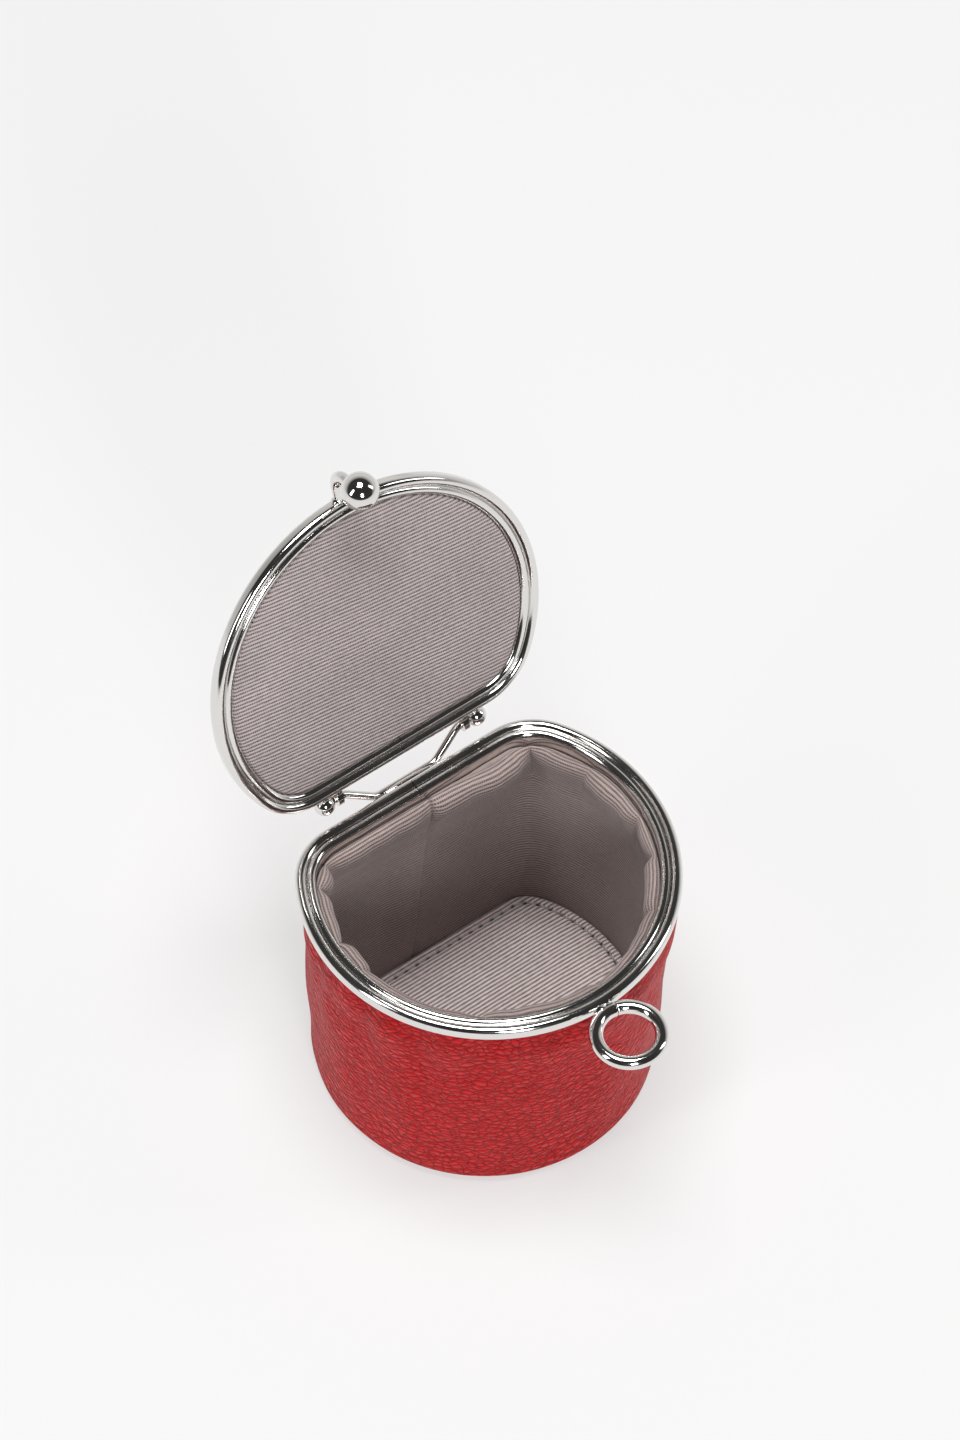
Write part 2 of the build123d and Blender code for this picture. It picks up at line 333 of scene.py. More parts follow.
def leatherFinish():
    finish = Finish("pebbledRedLeather")
    hide = clothPlaces(finish)
    drift = finish.node("ShaderNodeTexNoise", {"Vector": hide, "Scale": 0.3, "Detail": 1.0})
    shift = finish.node("ShaderNodeVectorMath", {0: drift.outputs["Color"], 1: (0.5, 0.5, 0.5)},
                        operation="SUBTRACT").outputs[0]
    shift = finish.node("ShaderNodeVectorMath", {0: shift, "Scale": 2.0},
                        operation="SCALE").outputs[0]
    warped = finish.node("ShaderNodeVectorMath", {0: hide, 1: shift}).outputs[0]

    def pebbles(scale, lean, toward):
        grain = finish.stretch(warped, (*scale, 1), (0, 0, lean))
        tops = finish.node("ShaderNodeTexVoronoi", {
            "Vector": grain, "Scale": 1.0, "Randomness": 0.9, "Smoothness": 0.3},
            feature="SMOOTH_F1").outputs["Distance"]
        edges = finish.node("ShaderNodeTexVoronoi", {
            "Vector": grain, "Scale": 1.0, "Randomness": 0.9},
            feature="DISTANCE_TO_EDGE").outputs["Distance"]
        creases = finish.span(edges, 0.0, 0.09)
        # each pebble leans a little, so that one side of it stands over the next
        middles = finish.node("ShaderNodeTexVoronoi", {
            "Vector": grain, "Scale": 1.0, "Randomness": 0.9}).outputs["Position"]
        offset = finish.node("ShaderNodeVectorMath", {0: grain, 1: middles},
                             operation="SUBTRACT").outputs[0]
        side = finish.node("ShaderNodeVectorMath", {0: offset, 1: toward},
                           operation="DOT_PRODUCT").outputs["Value"]
        domed = finish.maths("ADD", finish.maths("MULTIPLY", creases, 0.30),
                             finish.span(tops, 0.1, 0.8, 0.35, 0.0))
        return finish.maths("ADD", domed, finish.span(side, -0.6, 0.6, 0.35, 0.0))

    # the grain lies along the wall at the front and turns upright towards the right side
    broad = finish.noise(hide, 0.09, 2)
    split = finish.node("ShaderNodeSeparateXYZ", {0: hide}).outputs[0]
    place = finish.maths("ADD", split, finish.span(broad, 0.3, 0.7, -12, 12))
    lying = finish.span(place, leather["turnStart"], leather["turnEnd"])
    surface = finish.node("ShaderNodeMix", {
        0: lying, 2: pebbles(leather["upright"], -0.2, (-1, 0, 0)),
        3: pebbles(leather["lying"], 0.22, (0, 1, 0))}).outputs[0]
    surface = finish.maths("MULTIPLY", surface, finish.span(broad, 0.3, 0.7, 0.65, 1.0))
    fine = finish.noise(hide, 5.0, 3)
    # the creases and each pebble's low side are painted in the deep red: painted shade
    colour = finish.blend(finish.span(surface, 0.1, 0.7), leather["deep"], leather["red"])
    colour = finish.blend(finish.span(fine, 0.5, 0.8, 0, 0.3), colour, leather["worn"])
    colour = finish.blend(finish.span(broad, 0.45, 0.75, 0, 0.3), colour, leather["worn"])
    normal = finish.bump(surface, 1.0, 0.0012)
    normal = finish.bump(fine, 0.25, 0.00004, normal)
    rough = finish.span(surface, 0.0, 1.0, 0.54, 0.36)
    return finish.set(Base_Color=colour, Roughness=rough, Normal=normal,
                      Specular_IOR_Level=0.24)


ribbed = {
    "ribPitch": 0.87,
    "threadPitch": 0.43,
    # for each cloth: its ribs, the painted shade in the grooves between them, how dark that painted
    # shade is between threads
    "lid": ((0.63, 0.538, 0.527), (0.05, 0.041, 0.040), 0.50),
    # the wall's cloth is the lid's lining painted darker and redder: painted shade inside the pouch
    "wall": ((0.49, 0.385, 0.362), (0.045, 0.033, 0.031), 0.45),
    # the base's cloth is the same lining painted much lighter: painted light falling on the pouch's
    # floor
    "base": ((0.93, 0.79, 0.765), (0.07, 0.055, 0.052), 0.70),
}


def ribbedFinish(name, light, dark, lines, sewn=False):
    # lines: how dark the painted groove shade is between the dots of the crossing thread
    finish = Finish(name)
    cloth = clothPlaces(finish)
    wander = finish.maths("MULTIPLY", finish.maths(
        "SUBTRACT", finish.noise(finish.stretch(cloth, (0.12, 0.4, 1)), 1.0, 2), 0.5), 0.4)
    split = finish.node("ShaderNodeSeparateXYZ", {0: cloth})
    across = finish.maths("ADD", split.outputs[1], wander)
    turns = 2 * math.pi
    rib = finish.maths("SINE", finish.maths("MULTIPLY", across, turns / ribbed["ribPitch"]))
    rib = finish.span(rib, -1, 1)
    offset = finish.maths("MULTIPLY", finish.maths("FLOOR", finish.maths(
        "DIVIDE", across, ribbed["ribPitch"])), ribbed["threadPitch"] / 2)
    along = finish.maths("ADD", split.outputs[0], offset)
    thread = finish.maths("SINE", finish.maths("MULTIPLY", along, turns / ribbed["threadPitch"]))
    thread = finish.span(thread, -1, 1)
    groove = finish.maths("SUBTRACT", 1.0, rib)
    groove = finish.maths("POWER", groove, 1.35)
    dots = finish.maths("MULTIPLY", groove, finish.span(thread, 0.15, 0.75, lines, 1.0))
    height = finish.maths("SUBTRACT", 1.0, dots)
    slub = finish.noise(finish.stretch(cloth, (0.7, 3.2, 1)), 1.0, 3)
    patch = finish.noise(cloth, 0.055, 2)
    share = finish.maths("ADD", finish.maths("MULTIPLY", height, 0.85),
                         finish.span(slub, 0.3, 0.75, -0.13, 0.15))
    # ribs keep the cloth's colour, while grooves and the dots in them are painted darker: painted
    # shade where the cloth dips
    colour = finish.blend(share, dark, light)
    tone = finish.span(patch, 0.3, 0.7, 0.90, 1.06)
    toned = finish.node("ShaderNodeCombineColor", {0: tone, 1: tone, 2: tone}).outputs[0]
    colour = finish.blend(1.0, colour, toned, "MULTIPLY")
    # near-black in the needle holes and darker along the wall's back seam: painted shade where the
    # cloth sinks in
    if sewn:
        hole = finish.node("ShaderNodeAttribute", attribute_name="needle").outputs["Fac"]
        colour = finish.blend(hole, colour, (0.02, 0.016, 0.016))
    fuzz = finish.noise(cloth, 7.0, 2)
    normal = finish.bump(height, 0.8, 0.00016)
    normal = finish.bump(fuzz, 0.35, 0.00006, normal)
    return finish.set(Base_Color=colour, Roughness=0.78, Normal=normal, Specular_IOR_Level=0.35,
                      Sheen_Weight=0.25, Sheen_Roughness=0.5)


def plainFinish(name, colour, roughness, scale, depth):
    # boards, foam, cord and thread: one colour with its own fibre
    finish = Finish(name)
    spot = places(finish)
    fibre = finish.noise(spot, scale, 4, 0.4)
    darker = tuple(part * 0.72 for part in colour)
    shade = finish.blend(finish.span(fibre, 0.3, 0.7), darker, colour)
    return finish.set(Base_Color=shade, Roughness=roughness,
                      Normal=finish.bump(fibre, 0.6, depth))


nickelMetal = nickelFinish()
redLeather = leatherFinish()
lidCloth = ribbedFinish("ribbedLidLining", *ribbed["lid"])
wallClothPaintedShade = ribbedFinish("ribbedWallLiningPaintedShade", *ribbed["wall"], sewn=True)
padClothPaintedLightAndShade = ribbedFinish("ribbedBaseLiningPaintedLightAndShade", *ribbed["base"], sewn=True)
threadFibre = plainFinish("liningThread", (0.52, 0.46, 0.44), 0.7, 3000, 0.00005)
fibreBoard = plainFinish("fibreBoard", (0.32, 0.25, 0.18), 0.9, 900, 0.0001)
softFoam = plainFinish("softFoam", (0.80, 0.76, 0.66), 0.95, 2200, 0.0002)
paperTwist = plainFinish("paperTwist", (0.62, 0.52, 0.38), 0.85, 1500, 0.0001)
print("finishes made")

# the two rolled frames
rolled = {
    "sheet": 0.5,
    "beadRadius": 1.2,
    "beadHalf": 0.5,                 # half of the bead's flat outer wall
    "lip": 1.95,                     # where the bead's lower lip ends
    "collarRise": 1.4,
    "depth": 4.4,                    # outer edge to the inner wall's face
    "bodySkirt": 3.2,
    "lidSkirt": 2.1,
    "buttGap": 0.15,
}


def frameSection(skirt):
    bead = rolled["beadRadius"]
    half = rolled["beadHalf"]
    collar = (rolled["depth"] - 2 * bead) / 2 + rolled["sheet"] / 10
    collarAt = (rolled["depth"] - collar, rolled["collarRise"] - collar)
    lipTurn = -math.degrees(math.acos((rolled["lip"] - bead) / bead))
    # where the bead's top and the collar meet in the groove
    across = Vector(collarAt) - Vector((bead, half))
    reach = (across.length ** 2 + bead ** 2 - collar ** 2) / (2 * across.length)
    lean = math.degrees(math.atan2(across.y, across.x))
    beadTurn = lean + math.degrees(math.acos(reach / bead))
    collarTurn = 180 + lean - math.degrees(math.acos((across.length - reach) / collar))
    thin = rolled["sheet"]
    outside = arc((bead, -half), bead, lipTurn, -180, 22)
    outside += arc((bead, half), bead, 180, beadTurn, 26)
    outside += arc(collarAt, collar, collarTurn, 0, 24)[1:]
    skirtEnd = -skirt + thin / 2
    outside += arc((rolled["depth"] - thin / 2, skirtEnd), thin / 2, 0, -180, 6)
    inside = arc(collarAt, collar - thin, 0, 165, 12)
    inside += arc((bead, half), bead - thin, 5, 180, 12)
    inside += arc((bead, -half), bead - thin, 180, 360 + lipTurn, 10)
    return outside + inside


def rolledFrame(name, node, skirt, body, place):
    bm = bmesh.new()
    last = drawProfile(bm, frameSection(skirt), rolled["buttGap"] / 2, True)
    carryRound(bm, last, rolled["buttGap"], 60)
    bmesh.ops.holes_fill(bm, edges=[edge for edge in bm.edges if edge.is_boundary], sides=0)
    finishPiece(name, bm, nickelMetal, body, [node], place, 32)


rolledFrame("bodyFrame", "body_frame", rolled["bodySkirt"], "body", bodyUp)
rolledFrame("lidFrame", "lid_frame", rolled["lidSkirt"], "lid", lidUp)
print("frames rolled")


# wire work: hinge bow, end balls, clasp ring, arm and ball
def ringOfWire(bm, at, heading, radius, sides):
    lean = up.rotation_difference(heading).to_matrix().to_4x4()
    made = bmesh.ops.create_circle(bm, cap_ends=False, segments=sides, radius=radius,
                                   matrix=Matrix.Translation(at) @ lean)
    verts = made["verts"]
    return verts + list({edge for vert in verts for edge in vert.link_edges})


def bendWire(bm, corners, radius, bend, sides=28, steps=14):
    points = [Vector(corner) for corner in corners]
    heading = (points[1] - points[0]).normalized()
    last = ringOfWire(bm, points[0], heading, radius, sides)
    here = points[0]
    for i in range(1, len(points)):
        corner = points[i]
        if i == len(points) - 1:
            pull(bm, last, corner - here, 1)
            break
        following = (points[i + 1] - corner).normalized()
        angle = heading.angle(following)
        reach = bend * math.tan(angle / 2)
        last = pull(bm, last, corner - heading * reach - here, 1)
        axis = heading.cross(following).normalized()
        centre = corner - heading * reach + axis.cross(heading) * bend
        last = turn(bm, last, centre, angle, steps, axis)
        here = corner + following * reach
        heading = following
    bmesh.ops.holes_fill(bm, edges=[edge for edge in bm.edges if edge.is_boundary], sides=0)


bow = {
    "wireRadius": 0.9,
    "bend": 4.0,
    "solderedHalf": 7.4,             # where the bow leaves the frame
    "axisHalf": 14.6,                # where it meets the hinge axis
    "ballHalf": 19.3,
    "ballRadius": 2.3,
    "solderGap": 0.02,
    "ballGrip": 0.8,                 # how far short of a ball's middle the wire ends
    "solderSize": (6.4, 0.75, 0.55),
    "solderRise": 0.75,
    "solderSink": 0.1,               # behind the frame's outer edge
    "solderWander": 0.10,
}


def hingeBow():
    bm = bmesh.new()
    solderY = purse["backY"] + bow["wireRadius"] + bow["solderGap"]
    right = [(bow["solderedHalf"], solderY, beadLevel),
             (bow["axisHalf"], hingeAt.y, hingeAt.z),
             (bow["ballHalf"] - bow["ballGrip"], hingeAt.y, hingeAt.z)]
    left = [(-x, y, z) for x, y, z in reversed(right)]
    bendWire(bm, left + right, bow["wireRadius"], bow["bend"])
    finishPiece("hingeBow", bm, nickelMetal, "body", ["hinge_bracket"])


def solderFillet():
    # bright solder that ran along the bow's middle
    bm = bmesh.new()
    made = bmesh.ops.create_uvsphere(bm, u_segments=48, v_segments=16, radius=1.0)
    bmesh.ops.scale(bm, verts=made["verts"], vec=bow["solderSize"])
    for vert in bm.verts:
        vert.co *= 1 + bow["solderWander"] * noiseAt(vert.co, 1.4, 3.1)
    seat = (0, purse["backY"] + bow["solderSink"], beadLevel + bow["solderRise"])
    bmesh.ops.translate(bm, verts=bm.verts, vec=seat)
    finishPiece("hingeSolder", bm, nickelMetal, "body", [])


def endBall(name, node, side):
    bm = bmesh.new()
    lying = Matrix.Translation((side * bow["ballHalf"], hingeAt.y, hingeAt.z))
    lying = lying @ Matrix.Rotation(math.pi / 2, 4, "Y")
    bmesh.ops.create_uvsphere(bm, u_segments=40, v_segments=24, radius=bow["ballRadius"],
                              matrix=lying)
    finishPiece(name, bm, nickelMetal, "body", [node])


hingeBow()
solderFillet()
endBall("hingeBallRight", "hinge_ball_right", 1)
endBall("hingeBallLeft", "hinge_ball_left", -1)

clasp = {
    "ringY": -48.32,
    "ringRadius": 6.8,               # to the middle of the wire
    "ringWire": 1.5,
    "split": 0.15,
    "splitAngle": 77.0,
    "endBevel": 0.12,
    "saddle": (1.7, 1.3, 1.0),
    "blobs": ((-1.15, 1.0), (0.4025, 0.8)),    # solder under the ring: place along X, radius
    "armRadius": 1.2,
    "armBend": 4.6,
    "ballY": -47.82,
    "ballRadius": 4.0,
    "ballDrop": 10.0,
    "footSolder": (1.9, 0.8, 1.5),
    "neckSolder": (1.75, 1.75, 0.5),
}


def claspRing():
    bm = bmesh.new()
    centre = Vector((0, clasp["ringY"], beadLevel))
    angle = math.radians(clasp["splitAngle"])
    gapTurn = clasp["split"] / clasp["ringRadius"]
    start = angle + gapTurn / 2
    at = centre + Vector((math.cos(start), math.sin(start), 0)) * clasp["ringRadius"]
    heading = Vector((-math.sin(start), math.cos(start), 0))
    last = ringOfWire(bm, at, heading, clasp["ringWire"], 32)
    turn(bm, last, centre, 2 * math.pi - gapTurn, 110)
    ends = [edge for edge in bm.edges if edge.is_boundary]
    caps = bmesh.ops.holes_fill(bm, edges=ends, sides=0)["faces"]
    rims = list({edge for face in caps for edge in face.edges})
    bmesh.ops.bevel(bm, geom=rims, offset=clasp["endBevel"], segments=2, profile=0.5, affect="EDGES",
                    material=-1)
    for aside, size in clasp["blobs"]:
        spot = Vector((aside, -purse["frontRadius"] - 0.5, beadLevel + 0.35))
        made = bmesh.ops.create_uvsphere(bm, u_segments=28, v_segments=16, radius=size,
                                         matrix=Matrix.Translation(spot))
        bmesh.ops.scale(bm, verts=made["verts"], vec=clasp["saddle"],
                        space=Matrix.Translation(-spot))
        for vert in made["verts"]:
            vert.co += (vert.co - spot) * 0.22 * noiseAt(vert.co, 1.1, 7.7)
    finishPiece("claspRing", bm, nickelMetal, "body", ["clasp_ring"])


def claspArm():
    level = beadLevel + purse["closedGap"]
    bm = bmesh.new()
    bendWire(bm, [(0, -purse["frontRadius"] + 0.7, level), (0, clasp["ballY"], level),
                  (0, clasp["ballY"], level - clasp["ballDrop"] + clasp["ballRadius"] - 0.6)],
             clasp["armRadius"], clasp["armBend"])
    foot = (0, -purse["frontRadius"] - 0.1, level)
    neck = (0, clasp["ballY"], level - clasp["ballDrop"] + clasp["ballRadius"])
    for spot, radii in ((foot, clasp["footSolder"]), (neck, clasp["neckSolder"])):
        made = bmesh.ops.create_uvsphere(bm, u_segments=32, v_segments=16, radius=1,
                                         matrix=Matrix.Translation(spot))
        bmesh.ops.scale(bm, verts=made["verts"], vec=radii,
                        space=Matrix.Translation(-Vector(spot)))
    finishPiece("claspArm", bm, nickelMetal, "lid", ["clasp_arm"], swingOpen)


def claspBall():
    bm = bmesh.new()
    spot = (0, clasp["ballY"], beadLevel + purse["closedGap"] - clasp["ballDrop"])
    bmesh.ops.create_uvsphere(bm, u_segments=64, v_segments=40, radius=clasp["ballRadius"],
                              matrix=Matrix.Translation(spot))
    finishPiece("claspBall", bm, nickelMetal, "lid", ["clasp_ball"],
                swingOpen)


claspRing()
claspArm()
claspBall()
print("hinge and clasp made")

# leather of the body: one strip round the wall, and the panel under the base
wall = {
    "mouthInset": 2.0,
    "footInset": 3.7,
    "bottomRadius": 3.3,
    "turnIn": 1.7,
    "thick": 1.0,
    "pitch": 0.8,
    "freeBelow": -1.8,               # under the bead, from its middle
    "puff": 1.1,
    "deepest": 0.85,                 # how far a dent may go before it meets the board
    "belly": 0.35,                   # the wall's own swell, and its shoulder below the frame
    "shoulder": 1.0,
    "shoulderDepth": 8,
    "dentReach": 15,                 # how far down a dent fades out
    "dentLean": 0.25,
    # soft dents below the frame: length along the D from the middle of the back, width, depth
    "dents": ((207, 3.4, 2.2), (191, 3.0, 2.0), (176, 3.8, 3.0), (163, 3.0, 2.4),
              (146, 4.0, 2.4), (131, 3.4, 2.6), (112, 5.0, 1.6), (73, 3.4, 1.4), (34, 4.5, 1.4)),
}


def wallProfile():
    mouth = -purse["beadHeight"] / 2
    foot = wall["bottomRadius"] - beadLevel
    rows = 64
    points = [(wall["mouthInset"], -0.2), (wall["mouthInset"], mouth)]
    for i in range(1, rows + 1):
        share = i / rows
        points.append((wall["mouthInset"] + share * (wall["footInset"] - wall["mouthInset"]),
                       mouth + share * (foot - mouth)))
    bendAt = (wall["footInset"] + wall["bottomRadius"], foot)
    points += arc(bendAt, wall["bottomRadius"], 180, 270, 10)[1:]
    points.append((bendAt[0] + wall["turnIn"], -beadLevel))
    return points


def settleLeather(vert):
    # the strip puffs a little between soft upright dents, most of all below the frame
    level = vert.co.z
    depth = wall["freeBelow"] - level
    if depth < 0 or level < -beadLevel + 0.3:
        return
    foot = fade(level, -beadLevel, 7 - beadLevel)
    ease = fade(depth, 0, 3)
    upright = Vector((vert.co.x, vert.co.y, level * 0.28))
    near = math.exp(-depth / 17)
    folds = noiseAt(upright, 9.5, 1.7) * (0.25 + near) + 0.5 * noiseAt(vert.co, 16, 5.2)
    along = alongD(vert.co, 0)[0]
    pinch = 0.0
    for at, width, deep in wall["dents"]:
        middle = at + depth * wall["dentLean"] * math.sin(at)
        across = math.exp(-((along - middle) / width) ** 2)
        pinch -= deep * across * math.exp(-depth / wall["dentReach"])
    swell = wall["belly"] * math.sin(math.pi * min(1.0, depth / 52))
    swell += wall["shoulder"] * math.exp(-((depth - wall["shoulderDepth"]) / 6) ** 2)
    out = ease * foot * (wall["puff"] * folds + pinch + swell)
    if out < 0:
        out = -wall["deepest"] * (1 - math.exp(out / wall["deepest"]))
    vert.co -= inward(vert.co) * out


def leatherWall():
    bm = bmesh.new()
    last = drawProfile(bm, wallProfile(), 0, False)
    carryRound(bm, last, 0, wall["pitch"])
    bmesh.ops.remove_doubles(bm, verts=bm.verts, dist=0.001)

    def hide(spot):
        along, whole = alongD(spot, 0)
        under = insetOf(spot) if spot.z < -beadLevel + 0.5 else 0
        return along, spot.z - under, whole

    clothMap(bm, hide)
    for vert in bm.verts:
        settleLeather(vert)
    bmesh.ops.recalc_face_normals(bm, faces=bm.faces)
    piece = finishPiece("leatherWall", bm, redLeather, "body", ["body_leather_wall"],
                        bodyUp, 60, False)
    addModifier(piece, "SOLIDIFY", thickness=wall["thick"] / mm, offset=-1)


def leatherBase():
    bm = bmesh.new()
    inset = wall["footInset"] + wall["bottomRadius"] + wall["turnIn"] + 0.1
    last = drawProfile(bm, [(inset, 0.0)], 0, False)
    carryRound(bm, last, 0, 1.6)
    bmesh.ops.remove_doubles(bm, verts=bm.verts, dist=0.001)
    closeOver(bm, list(bm.edges), 16)
    clothMap(bm, lambda spot: (spot.x, spot.y))
    piece = finishPiece("leatherBase", bm, redLeather, "body", ["body_leather_base"])
    if piece.data.polygons[0].normal.z > 0:
        piece.data.flip_normals()
    addModifier(piece, "SOLIDIFY", thickness=wall["thick"] / mm, offset=-1)


leatherWall()
leatherBase()
print("body leather sewn")

# lining of the wall: one strip hung from the frame, gathered to a puffy roll there
roll = {
    "hangInset": 4.0,
    "pitch": 0.62,
    "thick": 0.25,
    "footInset": 5.65,
    "padLevel": 3.6 - beadLevel,     # where the strip ends, down beside the pad
    "steps": 0.33,                   # spacing of the rows through the roll
    "fullness": 0.90,
    "leastFullness": 0.12,
    "broadPuff": 0.34,
    "smallPuff": 0.14,
    "innerWall": 4.62,               # the least inset, behind the frame's inner wall
    "wallInset": 4.55,
    "tuckSteep": 0.9,                # reach of a tuck's steep side
    "tuckSlide": 1.1,                # how far the cloth slides into a tuck
    "seamStart": -2.2,               # seam of the back, and how far it leans as it goes down
    "seamLean": 0.075,
    "seamLap": 1.1,
    "seamWidth": 0.5,
    "sag": 1.3,
    # where the gathers are tucked: length along the D from the middle of the back, how far
    # the tuck takes to fill out again (minus where its steep side comes first), and depth
    "tucks": ((1.5, -3.5, 0.50), (26.6, 2.4, 1.00), (42.7, -5.0, 0.40), (58.2, 5.0, 0.45),
              (69.4, -6.0, 0.55), (82.7, 7.0, 0.50), (106.1, -6.0, 0.35), (133.0, 5.0, 0.35),
              (162.0, -5.0, 0.45), (170.0, 4.0, 0.60), (185.9, -3.0, 0.65), (191.4, 4.0, 0.60)),
    # slack places low in the right corner: length along the D, width, share of the sag
    "slack": ((17, 7.5, 1.0), (36, 5, 0.8)),
}
# path of the cloth at a full puff: length down the strip, inset, level
rollPath = ((0.0, 3.25, -1.2), (2.0, 3.25, -3.2), (2.6, 3.65, -3.75), (3.4, 4.35, -3.6),
            (4.5, 4.62, -2.5), (5.7, 5.05, -1.4), (7.0, 6.15, -1.0), (8.6, 7.45, -1.9),
            (10.9, 8.1, -4.1), (13.7, 7.45, -6.8), (17.7, 5.85, -10.6), (25.0, 4.85, -17.8))


def rollSpot(length, strip):
    # smooth path through the roll, then straight down to the foot
    if length >= rollPath[-1][0]:
        share = (length - rollPath[-1][0]) / (strip - rollPath[-1][0])
        return (rollPath[-1][1] + share * (roll["footInset"] - rollPath[-1][1]),
                rollPath[-1][2] + share * (roll["padLevel"] - rollPath[-1][2]))
    i = next(k for k in range(len(rollPath) - 1) if rollPath[k + 1][0] > length)
    a, b = rollPath[i], rollPath[i + 1]
    before = rollPath[max(i - 1, 0)]
    after = rollPath[min(i + 2, len(rollPath) - 1)]
    t = (length - a[0]) / (b[0] - a[0])
    spots = []
    for k in (1, 2):
        slopeA = (b[k] - before[k]) / (b[0] - before[0]) * (b[0] - a[0])
        slopeB = (after[k] - a[k]) / (after[0] - a[0]) * (b[0] - a[0])
        spots.append((2 * t ** 3 - 3 * t ** 2 + 1) * a[k] + (t ** 3 - 2 * t ** 2 + t) * slopeA
                     + (3 * t ** 2 - 2 * t ** 3) * b[k] + (t ** 3 - t ** 2) * slopeB)
    return spots[0], spots[1]


def tuckedIn(along, whole, length):
    # how much of the puff the tucks take up, and how far the cloth slides into them
    taken = slide = 0.0
    for at, width, depth in roll["tucks"]:
        off = (along - at + whole / 2) % whole - whole / 2
        off += 0.12 * (length - 7) * math.sin(at * 2.1)
        reach = abs(width) if off * width > 0 else roll["tuckSteep"]
        dip = depth * math.exp(-(abs(off) / reach) ** 1.2)
        taken += dip
        if off * width < 0:
            slide += roll["tuckSlide"] * dip * math.copysign(1.0, width)
    return taken, slide


def gatherLining(vert, strip, seam):
    length = -vert.co.z
    along, whole = alongD(vert.co, roll["hangInset"])
    way = inward(vert.co)
    side = Vector((-way.y, way.x, 0))
    inset, level = rollSpot(length, strip)
    flat = Vector((vert.co.x, vert.co.y, 0))
    taken, slide = tuckedIn(along, whole, length)
    fullness = (roll["fullness"] + roll["broadPuff"] * noiseAt(flat, 15, 2.3)
                + roll["smallPuff"] * noiseAt(flat, 4.6, 8.1))
    fullness = max(roll["leastFullness"], fullness - taken)

    # the puff starts below the channel and dies out down the wall
    held = fade(length, 2.8, 4.8)
    free = fade(-length, -26, -17)
    base = roll["innerWall"] if length > 3.6 else inset
    inset += (base + (inset - base) * fullness - inset) * held * free
    level -= (1 - fullness) * 1.3 * held * fade(-length, -14, -8)

    # lower down the strip hangs in soft folds
    hang = fade(length, 12, 20) * min(1.0, (strip - length) / 8)
    folds = noiseAt(Vector((flat.x, flat.y, length * 0.33)), 13, 4.4)
    small = noiseAt(Vector((flat.x, flat.y, length * 0.5)), 5.5, 9.3)
    inset += hang * max(-0.25, 0.35 + 0.9 * folds + 0.22 * small)
    if length > 5:
        seamOff = (along + whole / 2) % whole - whole / 2
        seamOff += roll["seamStart"] + roll["seamLean"] * length
        if seamOff < 0:
            inset += roll["seamLap"] * hang * math.exp(seamOff / 9)
        inset -= 0.35 * hang * math.exp(-(seamOff / roll["seamWidth"]) ** 2)
        # the seam's dark line: painted shade under the lapped cloth
        vert[seam] = 0.55 * math.exp(-(seamOff / 0.4) ** 2)
        sag = sum(share * math.exp(-((along - at) / width) ** 2)
                  for at, width, share in roll["slack"])
        inset += roll["sag"] * sag * held * fade(-length, -42, -16)
    if length > 12:
        drop = (length - 12) / (strip - 12)
        straight = roll["wallInset"] + drop * (roll["footInset"] - roll["wallInset"])
        inset = max(inset, straight - 0.2)
    vert.co += way * (inset - roll["hangInset"]) + side * slide * held * free
    vert.co.z = level


def liningWall():
    strip = rollPath[-1][0] + (rollPath[-1][2] - roll["padLevel"])
    bm = bmesh.new()
    lengths = [0.0, 0.7, 1.4, 2.0] + [2.0 + roll["steps"] * i for i in range(1, 58)]
    lengths += [lengths[-1] + (strip - lengths[-1]) * i / 32 for i in range(1, 33)]
    last = drawProfile(bm, [(roll["hangInset"], -length) for length in lengths], 0, False)
    carryRound(bm, last, 0, roll["pitch"])
    bmesh.ops.remove_doubles(bm, verts=bm.verts, dist=0.001)

    def cloth(spot):
        along, whole = alongD(spot, roll["hangInset"])
        return along, spot.z, whole

    clothMap(bm, cloth)
    seam = bm.verts.layers.float.new("needle")
    for vert in bm.verts:
        gatherLining(vert, strip, seam)
    tops = [vert for vert in bm.verts if vert.co.z < -2]
    for _ in range(2):
        bmesh.ops.smooth_vert(bm, verts=tops, factor=0.25, use_axis_x=True, use_axis_y=True,
                              use_axis_z=True)
    bmesh.ops.recalc_face_normals(bm, faces=bm.faces)
    piece = finishPiece("liningWall", bm, wallClothPaintedShade, "body", ["lining_wall"],
                        bodyUp, 80, False)
    addModifier(piece, "SOLIDIFY", thickness=roll["thick"] / mm, offset=-1)
    return piece, strip / mm


liningPiece, liningDeep = liningWall()
print("wall lining gathered")

# pad in the base: covered board with a sewn edge
pad = {
    "inset": 6.0,
    "topLevel": 5.2,
    "under": 2.35,
    "crown": 0.7,
    "stitchIn": 2.1,                 # stitch line, in from the pad's edge
    "stitchPitch": 2.8,
    "stitchLength": 2.1,
    "threadRadius": 0.24,
    "edgeRadius": 0.7,
    "sewnDepth": 0.28,               # how far the stitch line is drawn in
    "sewnWidth": 0.42,
    "pitDepth": 0.35,                # and each needle hole
    "pitRadius": 0.34,
    "threadRise": 0.08,
}


def padProfile():
    # side of the cover, rounded edge, and the sunken line of stitching
    inset, top, stitch = pad["inset"], pad["topLevel"], pad["inset"] + pad["stitchIn"]
    points = [(inset + 1.5, pad["under"]), (inset + 0.2, pad["under"]),
              (inset, pad["under"] + 0.3)]
    edge = pad["edgeRadius"]
    points += arc((inset + edge, top - edge), edge, 180, 90, 6)
    step = 0.0
    while step < 3.4:
        step += 0.27
        across = inset + edge + step
        sunk = pad["sewnDepth"] * math.exp(-((across - stitch) / pad["sewnWidth"]) ** 2)
        points.append((across, top - sunk))
    return points


